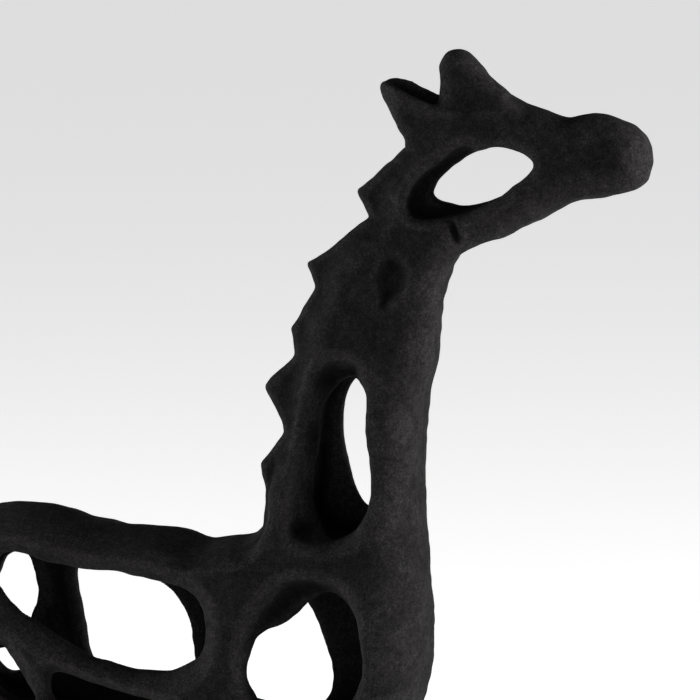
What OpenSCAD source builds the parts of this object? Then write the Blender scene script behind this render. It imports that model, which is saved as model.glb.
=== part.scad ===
// Openwork giraffe statue: hollow carved body, pierced neck and head, four turned-in legs.
// The figure faces +X and stands on Z = 0. Its right side is -Y and its left side is +Y.

/* [Body] */
// Half of the width of the hollow body
body_half_w = 33; // [28:0.5:36]
// Thickness of the carved body wall
wall_t = 9; // [7:0.5:10]
// Squareness of the rounded sections, 2 being an ellipse
section_power = 2.7; // [2.2:0.1:3.4]

/* [Neck and head] */
// Half of the width of the neck where it meets the body
neck_low_half_w = 27.5; // [24:0.5:29]
// Half of the width of the neck where it meets the head
neck_top_half_w = 15.5; // [14:0.5:17]
// Half of the width of the head
head_half_w = 14.5; // [13:0.5:16]
// Thickness of the wall around the hollow of the neck
neck_wall_t = 7; // [6:0.5:8]
// Half of the thickness of the mane strip at its root
mane_half_t = 8; // [6:0.5:9]

/* [Legs and feet] */
// Height of the glued joint between the body and each leg
leg_joint_z = 222; // [218:1:226]
// Distance of a leg's centre from the middle of the figure
leg_y = 19.5; // [18:0.5:21]
// Thickness of the felt pads under the hooves
pad_t = 2; // [1:0.5:3]
// Diameter of the round felt pads
pad_d = 19; // [16:0.5:20]

/* [Dowels] */
// Diameter of the dowels that hold legs, neck and head
dowel_d = 8; // [6:0.5:9]
// Diameter of the pegs that hold ears, horns and the two body shells
peg_d = 4; // [3:0.5:5]
// Gap left all round a dowel for the glue
glue_gap = 0.15; // [0.1:0.05:0.3]
// Depth of each dowel in each of the two pieces that it joins
dowel_depth = 16; // [12:1:17]
// Depth of each small peg in each of the two pieces that it joins
peg_depth = 6; // [4:0.5:7]

/* [Hidden] */
finish = "#1d1c1d";
bare_wood = "#c8a873";
felt = "#2b2b2d";
bore_facets = 48;
dowel_end_gap = 0.5;
// How far a cutting shape runs on past the surface that it cuts
overrun = 5;

// The body: place along X, lowest Z, highest Z and share of the full half width.
body_stations = [
    [-182, 288, 328, 0.34],
    [-177, 264, 342, 0.66],
    [-163, 247, 352, 0.88],
    [-138, 240, 356, 1],
    [-105, 238, 350, 1],
    [-70, 235, 347, 1],
    [-35, 231, 346, 1],
    [0, 228, 356, 1],
    [35, 229, 366, 0.95],
    [58, 235, 362, 0.82],
    [70, 252, 352, 0.62],
    [76, 280, 338, 0.34]
];

// The neck: height, rear edge along X and front edge along X.
neck_stations = [
    [322, -24, 76],
    [344, -20, 75.5],
    [360, -13, 73.5],
    [380, -8, 72],
    [402, -1, 72.5],
    [425, 3, 77],
    [448, 7, 80],
    [470, 15, 81.5],
    [490, 25, 85],
    [518, 38, 94]
];
// The taper runs between these heights, faster at the bottom than at the top.
neck_low_z = 344;
neck_top_z = 505;
neck_taper_power = 0.7;

// The head: place along X, lowest Z, highest Z and share of the full half width.
head_stations = [
    [41, 488, 518, 0.6],
    [50, 484, 534, 0.85],
    [64, 480, 551, 1],
    [82, 480, 567, 1],
    [98, 490, 574, 1],
    [114, 502, 573.5, 0.98],
    [130, 511, 567, 0.94],
    [146, 519.5, 564.5, 0.92],
    [162, 523, 566, 0.95],
    [176, 527, 563.5, 0.95],
    [185, 532, 559, 0.78],
    [190, 540, 552, 0.42]
];

// Openings in the right wall of the body, each an outline in X and Z.
right_openings = [
    [[-152, 325], [-141, 337], [-105, 333], [-66, 328], [-36, 318], [-33, 304], [-36, 287],
        [-58, 279], [-89, 284], [-114, 296], [-141, 314]],
    [[-121, 266], [-116, 273.5], [-93, 268], [-66, 261], [-52, 254], [-62, 248], [-95, 248], [-117, 254]],
    [[-146, 288], [-139, 281], [-128, 264], [-130, 256], [-143, 258], [-155, 268], [-156, 281]],
    [[-8, 296], [-10, 278], [-4, 264], [10, 257], [30, 259], [43, 272], [47.5, 292], [43, 313],
        [30, 323], [18, 317], [4, 307]]
];

// Openings in the left wall, which a hand carver didn't match to the right wall.
left_openings = [
    [[-119, 325], [-116, 300], [-110, 272], [-95, 263], [-74, 262], [-60, 273], [-60, 294],
        [-68, 312], [-90, 327], [-108, 330]],
    [[-148, 330], [-141, 318], [-141, 300], [-150, 285], [-161, 289], [-167, 305], [-162, 325]],
    [[-153, 263], [-153, 272], [-160, 277], [-167, 272], [-163, 262]],
    [[-36, 299], [-24, 313], [-6, 317], [7, 303], [12.5, 284], [11, 266], [-4, 255], [-27, 257], [-38, 274]]
];

// How far from the middle an opening in a body wall starts, well inside the hollow
window_start_y = 4;

// The body's hollow: its floor, its roof under the neck and behind it, and where the higher roof starts.
hollow_floor_z = 249;
hollow_front_roof_z = 328;
hollow_rear_roof_z = 348;
hollow_rear_roof_x = -40;
// The hollow stops this far short of the sections next to the rump and the chest
hollow_end_gap = 5;
hollow_least_half_w = 6;

right_neck_opening = [[44, 433], [33, 429], [27, 414], [25, 384], [21, 361], [29, 349], [43, 358],
    [51, 375], [47, 402], [49, 423]];
left_neck_opening = [[38, 429], [27, 423], [23, 405], [26, 383], [35, 362], [45, 366], [50, 384], [49, 410]];
neck_hollow = [[40, 436], [26, 428], [17, 408], [14, 380], [12, 358], [24, 347], [45, 350], [57, 368],
    [58, 400], [56, 424]];
neck_hollow_mid_z = 400;
eye_opening = [[75, 523], [80, 533], [92, 543], [108, 549.5], [123, 548], [132.5, 541], [118, 528],
    [103, 519], [86, 517]];
// A thumb-sized dimple below the right cheek: its place in X and Z, its radii, its tilt and how far
// its centre stands out from the surface.
dimple_place = [57, 480];
dimple_radii = [7, 9, 14];
dimple_tilt = -8;
dimple_offset = 5.5;

// Joint planes: a point that the plane passes through in X and Z, and its tilt about Y.
body_joint = [28, 341, 8];
head_joint = [57, 499, 15];
ear_joint = [74, 559, -45];
horn_joint_z = 569;
// Ends along X of the flats that the ears and the horns are glued to
ear_flat = [20, 82];
horn_flat = [78, 122];

// The mane's root, from the withers up to the nape, let into the back of the neck.
mane_root = [[-8, 355], [-5, 372], [2, 395], [7.5, 420], [9, 441], [18, 470], [30, 490], [46, 510],
    [57, 535]];
// Down the back of the mane: each tip, then the notch under it.
mane_teeth = [[55, 540], [37, 524], [42, 510.5], [32, 501.5], [12, 485.5], [14.5, 474], [3, 452],
    [4, 441], [-12, 423], [-2.5, 401], [-14, 384], [-12, 371]];

// Legs: height, centre along X, half length along X and half width across.
front_leg_stations = [
    [leg_joint_z, 44, 19, 12],
    [190, 43, 15.5, 11],
    [150, 42, 12, 9.8],
    [120, 43, 12, 10],
    [98, 42.5, 10.5, 9],
    [50, 42, 9, 8.3],
    [22, 42.5, 9.8, 8.8],
    [10, 44, 12.6, 10.2],
    [pad_t, 44.5, 13.6, 10.8]
];
rear_leg_stations = [
    [leg_joint_z, -156, 21.5, 12.5],
    [190, -160, 17.5, 11.3],
    [150, -166, 12.8, 10],
    [120, -171, 11.2, 9.8],
    [96, -169.5, 10.3, 9.2],
    [50, -166, 9.2, 8.4],
    [22, -165, 9.9, 8.8],
    [10, -163, 12.6, 10.2],
    [pad_t, -162.5, 13.6, 10.8]
];
stump_rise = 34;
leg_facets = 16;

// Tail: centre line in X and Z with its radius.
tail_stations = [
    [-178, 336, 5.2],
    [-183.5, 329, 4.6],
    [-186.3, 315, 3.7],
    [-186.8, 290, 3.2],
    [-186, 268, 3.2],
    [-185.5, 252, 4.4],
    [-185.6, 240, 4.3],
    [-186, 230, 2.2]
];

// Places in X and Z of the pegs across the seam of the two body shells: three above, three below
shell_peg_places = [[-150, 350], [-75, 341.5], [-20, 337], [-110, 243], [-35, 237.5], [10, 237.5]];
neck_dowel_places = [[-4, 13], [61, 13]];
head_dowel_places = [46, 73];
ear_peg_offset = 7.5;
horn_peg_place = [98, 7];
mane_peg_places = [[27, 485], [7.8, 423], [-1.2, 384]];
mane_peg_tilt = 65;
tail_peg_place = [-174, 337];
front_leg_top_x = front_leg_stations[0][1];
rear_leg_top_x = rear_leg_stations[0][1];

// ---- helpers -------------------------------------------------------------------------

// A closed smooth curve through the given points, with steps points in each span.
function curve_point(a, b, c, d, t) =
    0.5 * (2 * b + (c - a) * t + (2 * a - 5 * b + 4 * c - d) * t * t
        + (3 * b - a - 3 * c + d) * t * t * t);

function smooth_loop(pts, steps = 4) = [
    for (i = [0 : len(pts) - 1], s = [0 : steps - 1])
        let (n = len(pts))
        curve_point(pts[(i + n - 1) % n], pts[i], pts[(i + 1) % n], pts[(i + 2) % n], s / steps)
];

// Skin over a row of rings that all have the same number of points.
module loft(rings) {
    n = len(rings[0]);
    last = len(rings) - 1;
    polyhedron(
        points = [for (ring = rings, p = ring) p],
        faces = concat(
            [[for (j = [0 : n - 1]) j]],
            [for (i = [0 : last - 1], j = [0 : n - 1])
                [i * n + j, (i + 1) * n + j, (i + 1) * n + (j + 1) % n, i * n + (j + 1) % n]],
            [[for (j = [n - 1 : -1 : 0]) last * n + j]]
        ),
        convexity = 8
    );
}

function rounded(c, power) = sign(c) * pow(abs(c), 2 / power);

// Half of a rounded section across X, from the lowest point round the +Y side to the highest.
function half_section(x, low, high, half_w, steps = 9) = [
    for (k = [0 : steps])
        let (a = -90 + 180 * k / steps)
        [x, half_w * rounded(cos(a), section_power),
            (low + high) / 2 + (high - low) / 2 * rounded(sin(a), section_power)]
];

// A whole rounded section across X.
function cross_section(x, low, high, half_w, facets = 20) = [
    for (k = [0 : facets - 1])
        let (a = -90 + 360 * k / facets)
        [x, half_w * rounded(cos(a), section_power),
            (low + high) / 2 + (high - low) / 2 * rounded(sin(a), section_power)]
];

// A whole rounded section across Z.
function level_section(z, x_low, x_high, y_mid, half_w, facets = 20, power = section_power) = [
    for (k = [0 : facets - 1])
        let (a = 360 * k / facets)
        [(x_low + x_high) / 2 + (x_high - x_low) / 2 * rounded(cos(a), power),
            y_mid + half_w * rounded(sin(a), power), z]
];

// Cuts an outline given in X and Z through everything from y_low to y_high.
module cut_across(outline, y_low, y_high) {
    translate([0, y_high, 0])
        rotate([90, 0, 0])
            linear_extrude(height = y_high - y_low)
                polygon(smooth_loop(outline));
}

// Everything above a joint plane.
module above(joint, reach = 400) {
    translate([joint[0], 0, joint[1]])
        rotate([0, joint[2], 0])
            translate([-reach / 2, -reach / 2, 0])
                cube([reach, reach, reach]);
}

// Everything below a joint plane.
module below(joint, reach = 400) {
    translate([joint[0], 0, joint[1]])
        rotate([0, joint[2], 0])
            translate([-reach / 2, -reach / 2, -reach])
                cube([reach, reach, reach]);
}

// A dowel centred on a joint, standing along Z before it is turned.
module dowel(d, depth) {
    cylinder(d = d, h = 2 * depth, center = true, $fn = bore_facets);
}

module dowel_bore(d, depth) {
    cylinder(d = d + 2 * glue_gap, h = 2 * (depth + dowel_end_gap), center = true, $fn = bore_facets);
}

// Puts its children on a joint plane at the place x along the plane and y across it.
module on_joint(joint, along, y) {
    translate([joint[0], 0, joint[1]])
        rotate([0, joint[2], 0])
            translate([along, y, 0])
                children();
}

module at_shell_pegs() {
    for (p = shell_peg_places)
        translate([p[0], 0, p[1]])
            rotate([90, 0, 0])
                children();
}

module at_neck_dowels() {
    for (p = neck_dowel_places, side = [-1, 1])
        on_joint(body_joint, p[0] - body_joint[0], side * p[1])
            children();
}

module at_head_dowels() {
    for (x = head_dowel_places)
        on_joint(head_joint, x - head_joint[0], 0)
            children();
}

module at_ear_pegs() {
    for (side = [-1, 1])
        on_joint(ear_joint, 0, side * ear_peg_offset)
            children();
}

module at_horn_pegs() {
    for (side = [-1, 1])
        translate([horn_peg_place[0], side * horn_peg_place[1], horn_joint_z])
            children();
}

module at_mane_pegs() {
    for (p = mane_peg_places)
        translate([p[0], 0, p[1]])
            rotate([0, -mane_peg_tilt, 0])
                children();
}

module at_tail_peg() {
    translate([tail_peg_place[0], 0, tail_peg_place[1]])
        rotate([0, 90, 0])
            children();
}

module at_leg_dowels() {
    for (x = [front_leg_top_x, rear_leg_top_x], side = [-1, 1])
        translate([x, side * leg_y, leg_joint_z])
            children();
}

// ---- body shells ----------------------------------------------------------------------

// The short solid stump that a leg is glued to, growing out of the underside of the body.
module leg_stump(top) {
    loft([
        level_section(leg_joint_z, top[1] - top[2], top[1] + top[2], leg_y, top[3], leg_facets),
        level_section(leg_joint_z + stump_rise / 2, top[1] - top[2] - 1, top[1] + top[2] + 1,
            leg_y - 0.5, top[3] + 1, leg_facets),
        level_section(leg_joint_z + stump_rise, top[1] - top[2] + 3, top[1] + top[2] - 3,
            leg_y - 2, top[3], leg_facets)
    ]);
}

// One half of the body, on the +Y side, before its openings are cut.
module body_half_blank() {
    loft([for (s = body_stations) half_section(s[0], s[1], s[2], body_half_w * s[3])]);
    leg_stump(front_leg_stations[0]);
    leg_stump(rear_leg_stations[0]);
}

// The hollow of one half. It stops short of the stumps so that they stay solid.
module body_hollow() {
    last = len(body_stations) - 2;
    loft([for (i = [1 : last])
        let (
            s = body_stations[i],
            step_in = i <= 2 ? hollow_end_gap : i >= last - 1 ? -hollow_end_gap : 0,
            roof = s[0] < hollow_rear_roof_x ? hollow_rear_roof_z : hollow_front_roof_z
        )
        half_section(s[0] + step_in, max(s[1] + wall_t, hollow_floor_z), min(s[2] - wall_t, roof),
            max(body_half_w * s[3] - wall_t, hollow_least_half_w))
    ]);
}

module body_shell(openings) {
    difference() {
        body_half_blank();
        body_hollow();
        above(body_joint);
        for (o = openings)
            cut_across(o, window_start_y, body_half_w + overrun);
        at_shell_pegs() dowel_bore(peg_d, peg_depth);
        at_neck_dowels() dowel_bore(dowel_d, dowel_depth);
        at_leg_dowels() dowel_bore(dowel_d, dowel_depth);
        at_tail_peg() dowel_bore(peg_d, peg_depth);
    }
}

module left_body_shell() {
    color(finish) body_shell(left_openings);
}

module right_body_shell() {
    color(finish) mirror([0, 1, 0]) body_shell(right_openings);
}

right_body_shell();
left_body_shell();

// ---- neck -----------------------------------------------------------------------------

// Half of the neck's width at a height, narrowing evenly from the body to the head.
function neck_half_w(z) =
    neck_low_half_w + (neck_top_half_w - neck_low_half_w)
        * min(1, pow((z - neck_low_z) / (neck_top_z - neck_low_z), neck_taper_power));

module neck_blank() {
    loft([for (s = neck_stations)
        level_section(s[0], s[1], s[2], 0, neck_half_w(max(s[0], neck_low_z)))]);
}

// The hollow behind the two neck openings, following the taper of the neck.
module neck_cavity() {
    half_w = neck_half_w(neck_hollow_mid_z) - neck_wall_t;
    cut_across(neck_hollow, -half_w, half_w);
}

module neck() {
    color(finish) difference() {
        neck_blank();
        neck_cavity();
        cut_across(right_neck_opening, -neck_low_half_w - overrun, 0);
        cut_across(left_neck_opening, 0, neck_low_half_w + overrun);
        below(body_joint);
        above(head_joint);
        mane_strip();
        cheek_dimple();
        at_neck_dowels() dowel_bore(dowel_d, dowel_depth);
        at_head_dowels() dowel_bore(dowel_d, dowel_depth);
        at_mane_pegs() dowel_bore(peg_d, peg_depth);
    }
}

module cheek_dimple() {
    translate([dimple_place[0], -neck_half_w(dimple_place[1]) - dimple_offset, dimple_place[1]])
        rotate([0, dimple_tilt, 0])
            scale(dimple_radii)
                sphere(r = 1, $fn = 32);
}

neck();

// ---- head -----------------------------------------------------------------------------

module head_blank() {
    loft([for (s = head_stations) cross_section(s[0], s[1], s[2], head_half_w * s[3])]);
}

module head() {
    color(finish) difference() {
        head_blank();
        cut_across(eye_opening, -head_half_w - overrun, head_half_w + overrun);
        below(head_joint);
        ear_cut();
        horn_cut();
        mane_strip();
        at_head_dowels() dowel_bore(dowel_d, dowel_depth);
        at_ear_pegs() dowel_bore(peg_d, peg_depth);
        at_horn_pegs() dowel_bore(peg_d, peg_depth);
        at_mane_pegs() dowel_bore(peg_d, peg_depth);
    }
}

// The flat on the nape that the ears are glued to.
module ear_cut() {
    intersection() {
        above(ear_joint);
        translate([ear_flat[0], -head_half_w - overrun, neck_top_z])
            cube([ear_flat[1] - ear_flat[0], 2 * (head_half_w + overrun), 120]);
    }
}

// The flat on the crown that the horns are glued to.
module horn_cut() {
    translate([horn_flat[0], -head_half_w - overrun, horn_joint_z])
        cube([horn_flat[1] - horn_flat[0], 2 * (head_half_w + overrun), 60]);
}

head();

// ---- mane -----------------------------------------------------------------------------

// The strip's outline: up its root inside the neck, then down its back from tooth to tooth.
mane_outline = concat(mane_root, mane_teeth);

module mane_strip() {
    translate([0, mane_half_t, 0])
        rotate([90, 0, 0])
            linear_extrude(height = 2 * mane_half_t)
                polygon(mane_outline);
}

module mane() {
    color(finish) difference() {
        mane_strip();
        at_mane_pegs() dowel_bore(peg_d, peg_depth);
    }
}

mane();

// ---- ears and horns -------------------------------------------------------------------

// The right ear's outline in X and Z, from its tip round the upper edge to the nape.
ear_outline = [[49, 576], [54, 579.5], [66, 577.5], [79, 571.5], [81.8, 566.8], [74, 559],
    [63.5, 548.5], [56, 561]];
// The scoop in the ear's upper face: its centre in X and Z, its radii and its tilt.
ear_scoop_place = [66, 583];
ear_scoop_radii = [26, 11, 12];
ear_scoop_tilt = 21;
ear_half_t = 13.5;

// A horn's outline in X and Z in the middle of its thickness, and the smaller one at its two sides.
horn_outline = [[82, horn_joint_z], [80.5, 580], [80.8, 587], [83.5, 592], [87.5, 593], [92, 591],
    [96, 586], [119, horn_joint_z]];
horn_side_outline = [[84, horn_joint_z], [84, 585], [90, 587], [115, horn_joint_z]];
horn_half_t = 13;
horn_edge_round = 3;
// Half of the gap between the two ears, and between the two horns, where they meet
twin_gap = 0.05;

module slab(outline, y_low, y_high) {
    translate([0, y_high, 0])
        rotate([90, 0, 0])
            linear_extrude(height = y_high - y_low)
                polygon(outline);
}

// The ear on the +Y side: a leaf with a scooped upper face that falls towards the middle.
module ear() {
    difference() {
        slab(ear_outline, twin_gap, ear_half_t);
        translate([ear_scoop_place[0], 0, ear_scoop_place[1]])
            rotate([0, ear_scoop_tilt, 0])
                scale(ear_scoop_radii)
                    sphere(r = 1, $fn = 32);
        at_ear_pegs() dowel_bore(peg_d, peg_depth);
    }
}

module left_ear() {
    color(finish) ear();
}

module right_ear() {
    color(finish) mirror([0, 1, 0]) ear();
}

// The horn on the +Y side: a blunt stub that stands a little clear of its twin at the top.
module horn() {
    difference() {
        hull() {
            slab(horn_outline, horn_edge_round, horn_half_t - horn_edge_round);
            slab(horn_side_outline, twin_gap, horn_half_t);
        }
        at_horn_pegs() dowel_bore(peg_d, peg_depth);
    }
}

module left_horn() {
    color(finish) horn();
}

module right_horn() {
    color(finish) mirror([0, 1, 0]) horn();
}

right_ear();
left_ear();
right_horn();
left_horn();

// ---- tail -----------------------------------------------------------------------------

function tail_ring(s, facets = 10) = [
    for (k = [0 : facets - 1])
        let (a = 360 * k / facets)
        [s[0] - s[2] * cos(a), s[2] * sin(a), s[1] + (s[0] > -183 ? s[2] * cos(a) : 0)]
];

module tail() {
    color(finish) difference() {
        loft([for (s = tail_stations) tail_ring(s)]);
        at_tail_peg() dowel_bore(peg_d, peg_depth);
    }
}

tail();

// ---- legs -----------------------------------------------------------------------------

// A leg on the +Y side, from the hoof up to its joint with the body.
module leg(stations) {
    count = len(stations);
    difference() {
        loft([
            for (k = [count - 1 : -1 : 0])
                let (s = stations[k])
                level_section(s[0], s[1] - s[2], s[1] + s[2], leg_y, s[3], leg_facets, 2.4)
        ]);
        at_leg_dowels() dowel_bore(dowel_d, dowel_depth);
    }
}

module front_left_leg() {
    color(finish) leg(front_leg_stations);
}

module front_right_leg() {
    color(finish) mirror([0, 1, 0]) leg(front_leg_stations);
}

module rear_left_leg() {
    color(finish) leg(rear_leg_stations);
}

module rear_right_leg() {
    color(finish) mirror([0, 1, 0]) leg(rear_leg_stations);
}

front_right_leg();
front_left_leg();
rear_right_leg();
rear_left_leg();

// ---- dowels, pegs and pads ------------------------------------------------------------

module shell_pegs() {
    color(bare_wood) at_shell_pegs() dowel(peg_d, peg_depth);
}

module neck_dowels() {
    color(bare_wood) at_neck_dowels() dowel(dowel_d, dowel_depth);
}

module head_dowels() {
    color(bare_wood) at_head_dowels() dowel(dowel_d, dowel_depth);
}

module ear_pegs() {
    color(bare_wood) at_ear_pegs() dowel(peg_d, peg_depth);
}

module horn_pegs() {
    color(bare_wood) at_horn_pegs() dowel(peg_d, peg_depth);
}

module mane_pegs() {
    color(bare_wood) at_mane_pegs() dowel(peg_d, peg_depth);
}

module tail_peg() {
    color(bare_wood) at_tail_peg() dowel(peg_d, peg_depth);
}

module leg_dowels() {
    color(bare_wood) at_leg_dowels() dowel(dowel_d, dowel_depth);
}

// A round felt pad glued under each hoof, a little narrower than the hoof.
module foot_pads() {
    sole = len(front_leg_stations) - 1;
    color(felt)
        for (x = [front_leg_stations[sole][1], rear_leg_stations[sole][1]], side = [-1, 1])
            translate([x, side * leg_y, 0])
                cylinder(d = pad_d, h = pad_t, $fn = bore_facets);
}

shell_pegs();
neck_dowels();
head_dowels();
ear_pegs();
horn_pegs();
mane_pegs();
tail_peg();
leg_dowels();
foot_pads();
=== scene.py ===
"""Openwork giraffe statue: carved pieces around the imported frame.

The carved forms are worked out as one signed distance field in millimetres, in the frame's own axes, so
that neighbouring pieces run into each other as one hand-worked surface. Each piece is then cut from it
along the real joint planes, and drilled for its dowels.
"""

import math
from functools import partial

import bmesh
import bpy
import numpy as np
from mathutils import Matrix, Vector


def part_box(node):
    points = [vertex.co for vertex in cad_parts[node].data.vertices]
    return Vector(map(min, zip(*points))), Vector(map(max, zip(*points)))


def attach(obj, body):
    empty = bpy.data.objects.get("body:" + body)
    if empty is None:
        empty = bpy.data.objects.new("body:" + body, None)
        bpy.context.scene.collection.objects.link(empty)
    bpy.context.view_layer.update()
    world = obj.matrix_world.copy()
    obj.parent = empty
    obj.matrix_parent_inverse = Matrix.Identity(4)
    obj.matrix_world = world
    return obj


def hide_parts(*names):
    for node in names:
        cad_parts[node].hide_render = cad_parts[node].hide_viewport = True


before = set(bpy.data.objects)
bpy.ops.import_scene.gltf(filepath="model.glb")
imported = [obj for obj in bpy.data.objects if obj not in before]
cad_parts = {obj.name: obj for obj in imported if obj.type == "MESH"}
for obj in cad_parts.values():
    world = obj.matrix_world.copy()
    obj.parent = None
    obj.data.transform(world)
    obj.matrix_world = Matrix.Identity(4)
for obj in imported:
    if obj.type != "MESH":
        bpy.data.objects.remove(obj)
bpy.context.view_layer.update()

MM = 0.001
VOXEL = 1.0  # grid pitch of the carved forms, in mm
MARGIN = 6.0  # space kept round a piece's grid, in mm
CREASE = math.radians(50)  # edges sharper than this are shaded as edges


# ---- curves and fields ---------------------------------------------------------------------


def spline(points, steps=8):
    """A closed smooth curve through the points."""
    p = np.array(points, float)
    before, after, beyond = np.roll(p, 1, 0), np.roll(p, -1, 0), np.roll(p, -2, 0)
    t = (np.arange(steps) / steps)[None, :, None]
    a, b, c, d = (q[:, None, :] for q in (before, p, after, beyond))
    square, cube = 2 * a - 5 * b + 4 * c - d, 3 * b - a - 3 * c + d
    curve = 0.5 * (2 * b + (c - a) * t + square * t**2 + cube * t**3)
    return curve.reshape(-1, 2)


def loop_distance(loop, x, z):
    """Signed distance to a closed loop in X and Z, negative inside, on the grid x by z."""
    px, pz = x[:, None], z[None, :]
    best = np.full((len(x), len(z)), 1e9)
    inside = np.zeros((len(x), len(z)), bool)
    for (ax, az), (bx, bz) in zip(loop, np.roll(loop, -1, 0)):
        dx, dz = bx - ax, bz - az
        t = np.clip(((px - ax) * dx + (pz - az) * dz) / max(dx * dx + dz * dz, 1e-9), 0, 1)
        best = np.minimum(best, (px - ax - t * dx) ** 2 + (pz - az - t * dz) ** 2)
        crosses = (az > pz) != (bz > pz)
        inside ^= crosses & (px < (pz - az) * dx / (dz if dz else 1e-9) + ax)
    return np.where(inside, -1, 1) * np.sqrt(best)


def smooth_step(v):
    """Zero below 0 and one above 1, with a soft rise between."""
    v = np.clip(v, 0, 1)
    return v * v * (3 - 2 * v)


def join(a, b, k):
    """Smooth union, with a fillet of about k."""
    h = np.maximum(k - np.abs(a - b), 0) / k
    return np.minimum(a, b) - h * h * k / 4


def carve(a, b, k):
    """Takes b away from a, rounding the edges over about k."""
    return -join(-a, b, k)


def blur(field, cells):
    """Softens a field along each axis with a short binomial filter."""
    for axis in range(field.ndim):
        last = field.shape[axis] - 1
        for _ in range(cells):
            ahead = np.concatenate([field.take(range(1, last + 1), axis), field.take([-1], axis)], axis)
            back = np.concatenate([field.take([0], axis), field.take(range(last), axis)], axis)
            field = 0.5 * field + 0.25 * (ahead + back)
    return field


# ---- the figure's driving shapes, in mm ------------------------------------------------------

# Head, neck and body in side view, from the crown over the muzzle, chest, belly, rump and back to the nape.
TRUNK = [
    (84, 569), (98, 573), (112, 572.5), (128, 566.5), (143, 562.5), (157, 564), (170, 561.5),
    (179, 556.5), (185, 549), (186.5, 540), (182.5, 530), (170, 524), (157, 521), (146, 519.5),
    (129, 510.5), (113, 502), (100, 498), (90.5, 493), (84.5, 484.5), (80.5, 471), (79, 458), (77, 441),
    (73, 425), (71.5, 409), (70.5, 395), (69.5, 378), (71, 361), (72, 340), (74, 318), (74, 300),
    (72.5, 282), (70, 266), (63, 250), (54, 238), (38, 232), (8, 230), (-30, 232), (-70, 235),
    (-110, 238), (-145, 241), (-164, 249), (-176, 268), (-180.5, 295), (-180, 322), (-173, 342),
    (-160, 353.5), (-140, 356.5), (-119, 354), (-104, 350), (-77, 347.5), (-60, 347), (-45.5, 343),
    (-30, 345), (-17, 347.5), (-8.5, 357), (-6, 371), (-2, 385), (3, 401), (6, 420), (9, 440),
    (12, 457), (19, 473), (25, 488), (36, 500), (47, 509), (52, 524), (60, 537), (65, 549), (73, 561),
]
# Half widths of the figure by height; the body keeps the full width, over a run behind the withers.
WIDTH_Z = [220, 300, 325, 345, 360, 400, 440, 475, 505, 525, 600]
WIDTH_W = [33, 33, 31, 28.5, 26, 22, 19.5, 17.5, 15.5, 14.5, 14]
WITHERS_X, WITHERS_RUN = -5, 40
BLANK_HALF = 33.3  # half the thickness of the wood the figure is carved from
BLANK_EDGE = 2.0
# Rounding of the long edges as a share of the half width, by height.
EDGE_Z = [330, 360, 490, 520]
EDGE_SHARE = [0.85, 0.78, 0.8, 0.97]
NO_LIMIT = 80  # a half width past anything on the figure
# Two planes slope down from the top of the back, from this half width and by this much per mm of depth.
BACK_HALF = 9
BACK_SLOPE = 2.1
BACK_SHARE = 0.3  # the rounding where the planes meet the flanks
TIGHT_FRONT_X, TIGHT_LOW_Z, TIGHT_HIGH_Z = 25, 300, 395  # where that rounding is used
BACK_FRONT_X = -12  # the planes run out forward of here and below this height
BACK_LOW_Z = 325
# The flanks are eased back round their windows, between these two places in X.
BEVEL_DEPTH = 7.5
BEVEL_WIDTH = 9.5
BEVEL_CURVE = 1.15
BEVEL_FRONT_X, BEVEL_REAR_X = -20, -182

RIGHT_WINDOWS = [
    [(-152, 323), (-141, 333.5), (-105, 328), (-66, 324.5), (-44, 318), (-37, 305), (-38, 291),
     (-45, 282.5), (-60, 276.3), (-89, 279.3), (-115, 290.5), (-142.5, 307.5)],
    [(-121, 266), (-116, 272.5), (-93, 267.5), (-66, 261), (-52, 254), (-62, 248), (-95, 248),
     (-117, 254)],
    [(-147, 285), (-140, 277), (-130, 262), (-132, 256), (-143, 258), (-155, 268), (-156, 281)],
    [(-10.5, 296.5), (-14.5, 278), (-6.5, 262.5), (9, 255.5), (30, 259), (43, 272), (46.5, 292),
     (42, 312), (30, 322), (17.5, 317), (5, 305.5)],
    [(41.5, 427.5), (31, 427), (20.5, 413), (17, 386), (16.5, 362), (28, 349), (43, 357), (48.5, 375),
     (45.5, 396), (46, 418)],
]
LEFT_WINDOWS = [
    [(-121.5, 321), (-120.3, 299), (-114, 273), (-96, 262), (-74, 260.5), (-58, 271.5), (-58.5, 293),
     (-69, 309), (-90, 322), (-106, 324)],
    [(-150, 326), (-144, 316), (-144.5, 300), (-151, 284), (-161, 287), (-167, 305), (-162, 322)],
    [(-152, 264), (-152, 271), (-158, 275), (-165, 272), (-161, 263)],
    [(-36, 299), (-24, 313), (-6, 316), (4.5, 302), (12, 284), (15, 263), (3, 252), (-27, 255.5),
     (-38, 274)],
    [(38, 428), (28, 422), (23.5, 405), (25.5, 383.5), (33.5, 361), (46, 362.5), (51, 384), (49, 411)],
]
WINDOW_EDGE = 3.5
EYE = [
    (76, 522), (83, 533), (94, 542.5), (109, 546.5), (122.5, 544), (129.5, 538), (119, 527.3),
    (104, 518.8), (87, 516.8),
]
EYE_EDGE = 4.0
EYE_FOOT_Z = 500  # nothing of the eye lies below this
BODY_HOLLOW = [
    (-160, 262), (-130, 252), (-90, 248), (-40, 246), (0, 246), (35, 262), (50, 282), (52, 305),
    (40, 325), (0, 329), (-40, 332), (-80, 341), (-140, 347), (-165, 335), (-170, 300),
]
NECK_HOLLOW = [
    (40, 438), (26, 430), (16, 408), (13, 380), (12, 358), (24, 347), (45, 350), (58, 368), (59, 400),
    (57, 424),
]
BODY_WALL = 9.5
NECK_WALL = 7.0
NECK_FOOT_Z = 343  # where the hollow passes from the body to the neck
HOLLOW_EDGE = 3.0
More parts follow.
